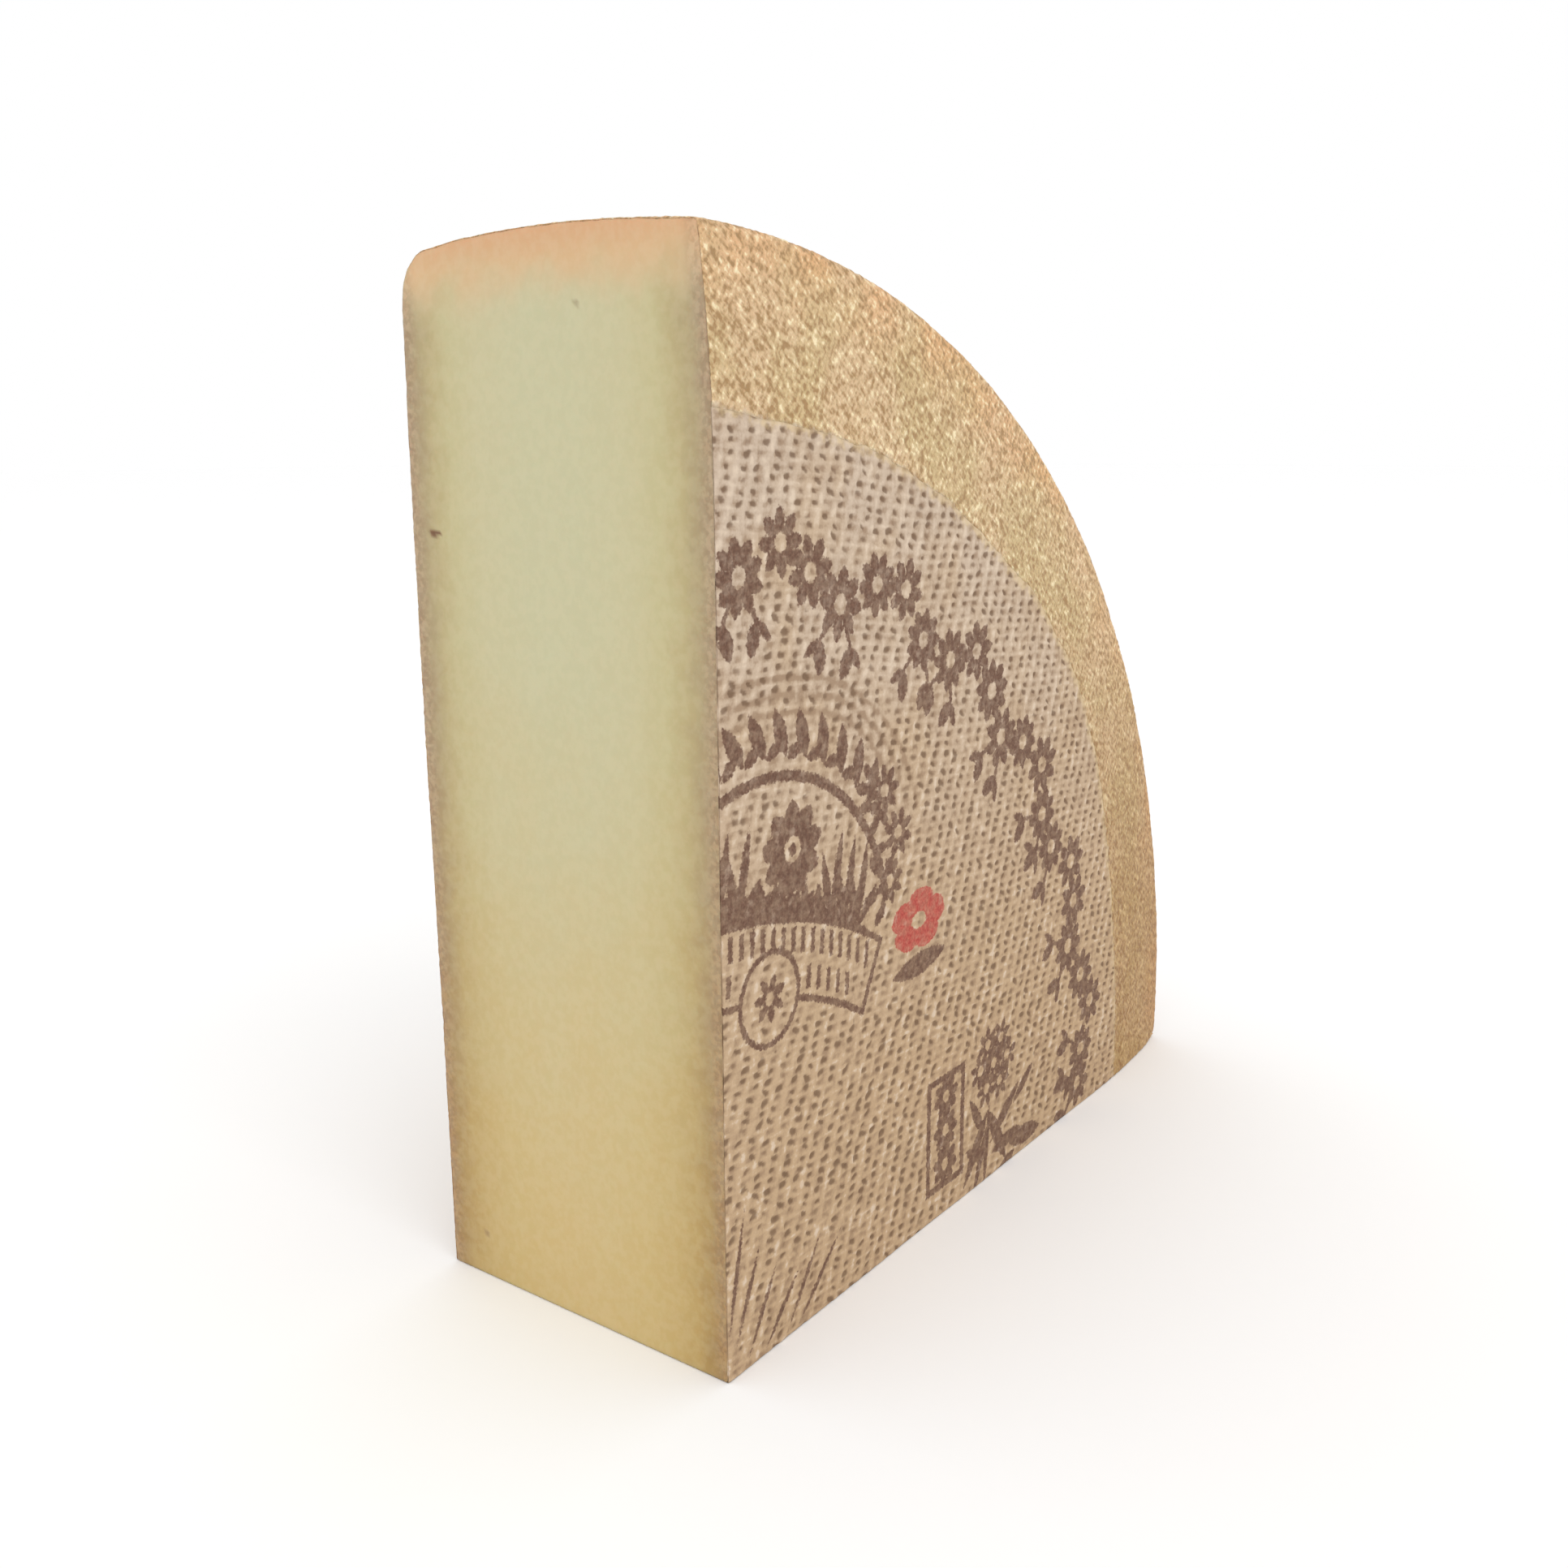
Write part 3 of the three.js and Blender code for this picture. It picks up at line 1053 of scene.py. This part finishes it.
def paste_material():
    """Cut cheese: ivory in the middle, greener and browner towards the rind, ruddy by the rim, and warmer
    low down, partly its own tone and partly painted warm bounce light.
    """
    nodes = Nodes("cheese_paste")
    depth = nodes.number("depth")
    rim = nodes.number("rim_depth")
    height = nodes.number("height")
    cloud = nodes.noise(24, 2)
    wandering = nodes.sum(depth, nodes.remap(nodes.noise(7, 2), 0.2, 0.8, -1.6, 1.6))

    upper = nodes.ramp(wandering, [(at, tone(*high)) for at, high, _ in PASTE_COLOURS])
    lower = nodes.ramp(wandering, [(at, tone(*low)) for at, _, low in PASTE_COLOURS])
    # warmer towards the base: partly the paste's own tone and partly painted warm bounce light from below
    warmth_and_painted_bounce = nodes.remap(nodes.sum(height, nodes.remap(cloud, 0.3, 0.7, -12, 12)), 200, 5)
    paste = nodes.mix(warmth_and_painted_bounce, upper, lower)

    ruddy_stops = [(0, tone(210, 162, 119)), (8, tone(211, 175, 131)), (20, tone(203, 184, 144))]
    ruddy = nodes.ramp(rim, ruddy_stops)
    wavering_rim = nodes.sum(rim, nodes.remap(nodes.noise(11, 2), 0.25, 0.75, -4, 4))
    paste = nodes.mix(nodes.remap(wavering_rim, 24, 5), paste, ruddy)

    mottle = nodes.remap(nodes.noise(1.3, 2), 0.42, 0.60)
    near_rind = nodes.remap(depth, 6, 1, 0.0, 0.75)
    pale_spot = nodes.mix(warmth_and_painted_bounce, tone(196, 166, 134), tone(194, 158, 112))
    spotted = nodes.mix(mottle, tone(150, 122, 94), pale_spot)
    paste = nodes.mix(near_rind, paste, nodes.mix(0.5, paste, spotted))
    paste = nodes.mix(nodes.remap(nodes.noise(2.2, 4), 0.35, 0.65, 0.0, 0.10), paste, tone(228, 216, 182))
    paste = nodes.mix(nodes.number("speck"), paste, tone(112, 72, 44))

    roughness = nodes.remap(nodes.noise(5, 3), 0.3, 0.7, 0.42, 0.56)
    normal = nodes.bump(nodes.noise(0.8, 3, stretch=(1, 1, 3)), 0.03)
    inside = dict(Subsurface_Weight=0.15, Subsurface_Scale=0.006)
    return nodes.finish(paste, roughness, normal, Specular_IOR_Level=0.4, **inside)


def label_material():
    """A beige open weave with brown holes, printed in a dry brown ink and a little red, with painted
    shade where the threads dip and in the creases, painted glints on the thread crests, and holes
    darkened partly by painted shade.
    """
    nodes = Nodes("label_weave")
    hole = nodes.number("hole")
    thread = nodes.number("thread")
    height = nodes.number("height")
    grain = nodes.noise(0.7, 3)
    blotch = nodes.noise(20, 2)

    pale = nodes.mix(nodes.remap(height, 230, 40), tone(199, 179, 158), tone(191, 162, 128))
    yarn_colour = nodes.mix(nodes.remap(blotch, 0.4, 0.7, 0.0, 0.5), pale, tone(190, 162, 128))
    # painted shade: darker where the threads dip between the holes and in the creases
    shade = nodes.remap(nodes.sum(thread, nodes.product(grain, 1.2)), 1.0, -0.4, 0.0, 0.76)
    ground = nodes.mix(shade, yarn_colour, tone(146, 118, 92))
    # painted highlight: glints on the crests of the threads
    glint = nodes.remap(nodes.sum(thread, grain), 0.75, 1.5, 0.0, 0.82)
    ground = nodes.mix(glint, ground, tone(236, 219, 196))

    ragged = nodes.remap(nodes.noise(0.9, 3), 0.25, 0.75, -0.38, 0.38)
    ink = nodes.remap(nodes.sum(nodes.number("ink"), ragged), 0.25, -0.25)
    worn = nodes.remap(nodes.noise(2.0, 3), 0.36, 0.66, 1.0, 0.74)
    ink_colour = nodes.mix(nodes.remap(grain, 0.35, 0.7), tone(98, 69, 54), tone(122, 92, 75))
    inked = nodes.mix(nodes.product(ink, worn), ground, ink_colour)

    red = nodes.remap(nodes.sum(nodes.number("red"), ragged), 0.25, -0.25)
    red_colour = nodes.mix(nodes.remap(grain, 0.35, 0.7), tone(166, 66, 58), tone(190, 96, 82))
    inked = nodes.mix(nodes.product(red, worn), inked, red_colour)

    # painted highlight: the threads' glints showing through the ink
    inked = nodes.mix(nodes.product(glint, 0.4), inked, tone(176, 148, 126))
    # brown in the holes: partly their own colour and partly painted shade down in them
    colour = nodes.mix(nodes.remap(hole, 0.15, 0.95, 0.0, 0.72), inked, tone(106, 80, 58))

    fringe = nodes.remap(wandering_edge(nodes), -1.8, 0.8, 0.0, 0.7)
    colour = nodes.mix(fringe, colour, nodes.mix(shade, tone(212, 188, 148), tone(168, 138, 98)))

    roughness = nodes.remap(grain, 0.3, 0.7, 0.68, 0.86)
    normal = nodes.bump(grain, 0.10)
    return nodes.finish(colour, roughness, normal, Specular_IOR_Level=0.25)


def floor_material():
    nodes = Nodes("floor")
    nodes.plug(nodes.shader.inputs["Base Color"], tone(255, 255, 255))
    nodes.plug(nodes.shader.inputs["Roughness"], 1.0)
    return nodes.material


# ------------------------------------------------------------------ the two pieces

# Each fleck's y and z, half its width and height, and how dark it is from 0 to 1.
SPECKS = ((92.5, 208.5, 2.3, 0.7, 1.0), (40.0, 262.0, 0.8, 0.8, 0.35), (87.0, 13.0, 1.2, 0.7, 0.4))


def specks(places):
    """Small brown flecks in the upright cut face."""
    fleck = np.zeros(len(places))
    on_upright_cut = places[:, 0] < 2
    for y, z, wide, tall, darkness in SPECKS:
        reach = np.hypot((places[:, 1] - y) / wide, (places[:, 2] - z) / tall)
        fleck = np.maximum(fleck, darkness * smooth_step(1.25, 0.75, reach) * on_upright_cut)
    return fleck


def beyond_label(places):
    """How far a place lies outside the label's edge, measured along the wheel's radius."""
    angles = np.arctan2(places[:, 2], places[:, 0])
    return np.hypot(places[:, 0], places[:, 2]) - label_edge(angles)


def make_wedge():
    kept, faces, looks = wedge_skin().welded()
    places = kept["places"]
    _, relief = rind_relief(places, kept["inwards"])
    front, back, rim = depth_below_rind(places)
    depth = smooth_least(front, back, 6)
    attributes = dict(relief=relief, depth=depth, rim_depth=rim, height=places[:, 2].copy())
    attributes["speck"] = specks(places)
    on_printed_side = places[:, 1] < THICKNESS / 4
    attributes["beyond_label"] = np.where(on_printed_side, beyond_label(places), LABEL_RADIUS)
    soften_cut_edges(kept)
    materials = [rind_material(), paste_material()]
    piece = build("cheese_body", places, faces, looks, materials, attributes)
    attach(piece, "root")
    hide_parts("cheese_wedge")


def make_label():
    kept, faces, looks = label_skin().welded()
    places = kept["places"]
    flat = places[:, [0, 2]]
    ink, red = printed(flat)
    clogged = smooth_step(2.8, 0.8, np.minimum(ink, red))  # ink fills the holes
    hole = nearest_hole(flat) * (1 - 0.88 * clogged)
    # thread also darkens the weave's colour where it is low and lightens it where it is high: painted
    # shade and painted glints
    thread = yarn(flat) - creases(flat)
    beyond = beyond_label(places)
    attributes = dict(hole=hole, thread=thread, ink=ink, red=red, height=places[:, 2].copy())
    attributes["beyond_label"] = beyond

    swell = (YARN_HEIGHT * thread + 0.22 * noise(flat, 31, 75)) * smooth_step(0, -4, beyond)
    from_edge = np.minimum(-beyond, flat.min(axis=1))
    dip = HOLE_DEPTH * hole * smooth_step(0.2, 2.0, from_edge) - swell
    face = kept["depths"] == 0  # the printed side, not the hidden one
    deepest = places[:, 1] + DEEPEST_DIP
    places[face, 1] += dip[face]
    soften_cut_edges(kept)
    places[face, 1] = np.minimum(places[face, 1], deepest[face])
    piece = build("label_sheet", places, faces, looks, [label_material()], attributes)
    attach(piece, "root")
    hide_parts("face_label")


# ------------------------------------------------------------------ floor, lights and camera


def make_floor():
    bpy.ops.mesh.primitive_plane_add(size=30, location=(0, 0, 0))
    floor = bpy.context.object
    floor.name = "floor"
    floor.data.materials.append(floor_material())
    floor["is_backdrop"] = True


KEY_PLACE = Vector((-0.9, -2.0, 2.0))
KEY_TARGET = Vector((0, 0, 0.13))


def make_key_light():
    data = bpy.data.lights.new("key", "AREA")
    data.size = 1.6
    data.energy = 12
    light = bpy.data.objects.new("key", data)
    light.location = KEY_PLACE
    light.rotation_euler = (KEY_TARGET - KEY_PLACE).to_track_quat("-Z", "Y").to_euler()
    bpy.context.scene.collection.objects.link(light)


def light_the_scene():
    world = bpy.data.worlds.new("studio")
    world.use_nodes = True
    background = world.node_tree.nodes["Background"]
    background.inputs["Color"].default_value = (1, 1, 1, 1)
    background.inputs["Strength"].default_value = 1.0
    bpy.context.scene.world = world
    make_key_light()
    bpy.context.scene.view_settings.view_transform = "Standard"


# The camera stands where the photo's perspective puts it, close to the wedge.
CAMERA_PLACE = (-0.39964, -0.26028, 0.23018)
CAMERA_TURN = -53.59  # degrees from looking at the printed side, towards the upright cut face
CAMERA_LIFT = 12.765
CAMERA_ROLL = -0.319
CAMERA_LENS = 34.386


def make_camera():
    turn, lift, roll = (math.radians(angle) for angle in (CAMERA_TURN, CAMERA_LIFT, CAMERA_ROLL))
    back = Vector((math.sin(turn) * math.cos(lift), -math.cos(turn) * math.cos(lift), math.sin(lift)))
    level = Vector((0, 0, 1)).cross(back).normalized()
    upwards = back.cross(level)
    right = math.cos(roll) * level + math.sin(roll) * upwards
    up = math.cos(roll) * upwards - math.sin(roll) * level

    data = bpy.data.cameras.new("camera")
    data.sensor_width = 36
    data.lens = CAMERA_LENS
    data.clip_start = 0.01
    camera = bpy.data.objects.new("camera", data)
    axes = Matrix((right, up, back)).transposed().to_4x4()
    camera.matrix_world = Matrix.Translation(CAMERA_PLACE) @ axes
    bpy.context.scene.collection.objects.link(camera)
    bpy.context.scene.camera = camera


make_camera()
light_the_scene()
make_floor()
make_wedge()
make_label()
